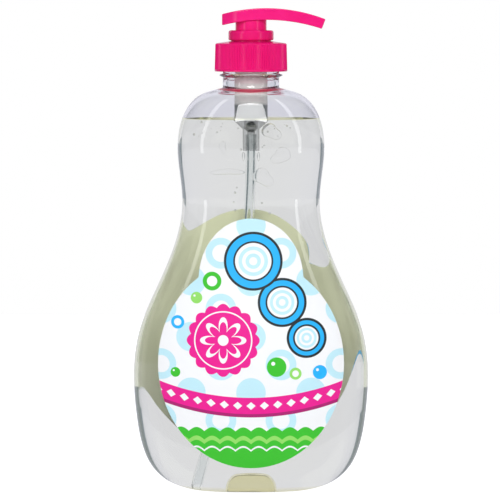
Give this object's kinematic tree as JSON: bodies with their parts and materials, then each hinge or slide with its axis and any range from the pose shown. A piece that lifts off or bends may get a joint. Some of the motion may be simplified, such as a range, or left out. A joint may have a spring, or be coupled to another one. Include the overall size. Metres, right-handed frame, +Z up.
{
  "type": "dish soap bottle with lotion pump",
  "caption": "Clear pear-shaped dish soap bottle, filled, with a front and a back label, a ribbed screw closure and a locked-down lotion pump.",
  "frame": {"origin": "centre of the footprint on the surface that the bottle stands on", "axes": "+Z up along the neck's axis, +X along the pump's spout and the bottle's width, -Y is the front with the front label"},
  "size_m": [0.1068, 0.0506, 0.2193],
  "materials": {
    "clear_pet": "clear blow-moulded PET, polished",
    "soap": "clear pale yellow liquid",
    "label_film": "satin white printed film",
    "pink_closure": "moulded hot pink polypropylene, satin gloss",
    "pink_head": "moulded hot pink polypropylene, satin gloss",
    "natural_plastic": "milky natural polypropylene",
    "clear_tube": "milky natural polyethylene, extruded",
    "foam_gasket": "white closed-cell polyethylene foam",
    "stainless": "drawn stainless wire and ground ball"
  },
  "bodies": {
    "bottle": {"bottle": "clear_pet", "liquid_soap": "soap", "front_label": "label_film", "back_label": "label_film"},
    "pump_base": {"housing": "natural_plastic", "neck_gasket": "foam_gasket", "lock_collar": "pink_closure", "dip_tube": "clear_tube"},
    "closure": {"closure": "pink_closure"},
    "ball": {"check_ball": "stainless"},
    "spring": {"spring": "stainless"},
    "plunger": {"pump_head": "pink_head", "stem": "natural_plastic", "stem_plug": "natural_plastic"},
    "piston": {"piston": "natural_plastic"}
  },
  "joints": [
    {"name": "pump_rise", "type": "slide", "parent": "bottle", "child": "pump_base", "axis": [0, 0, 1], "range_m": [0, 0.0052], "deforming": ["liquid_soap"]},
    {"name": "closure_turn", "type": "hinge", "parent": "pump_base", "child": "closure", "pos_m": [0, 0, 0.19], "axis": [0, 0, 1], "range_deg": [0, 430]},
    {"name": "ball_lift", "type": "slide", "parent": "pump_base", "child": "ball", "axis": [0, 0, 1], "range_m": [0, 0.0012]},
    {"name": "head_turn", "type": "hinge", "parent": "pump_base", "child": "spring", "pos_m": [0, 0, 0.17], "axis": [0, 0, 1], "continuous": true},
    {"name": "pump_stroke", "type": "slide", "parent": "spring", "child": "plunger", "axis": [0, 0, 1], "range_m": [0, 0.0135], "deforming": ["spring"]},
    {"name": "piston_slip", "type": "slide", "parent": "plunger", "child": "piston", "axis": [0, 0, 1], "range_m": [0, 0.0012]}
  ],
  "couplings": [
    {"joint": "pump_rise", "follows": "closure_turn", "m_per_rad": 0.0006737}
  ]
}
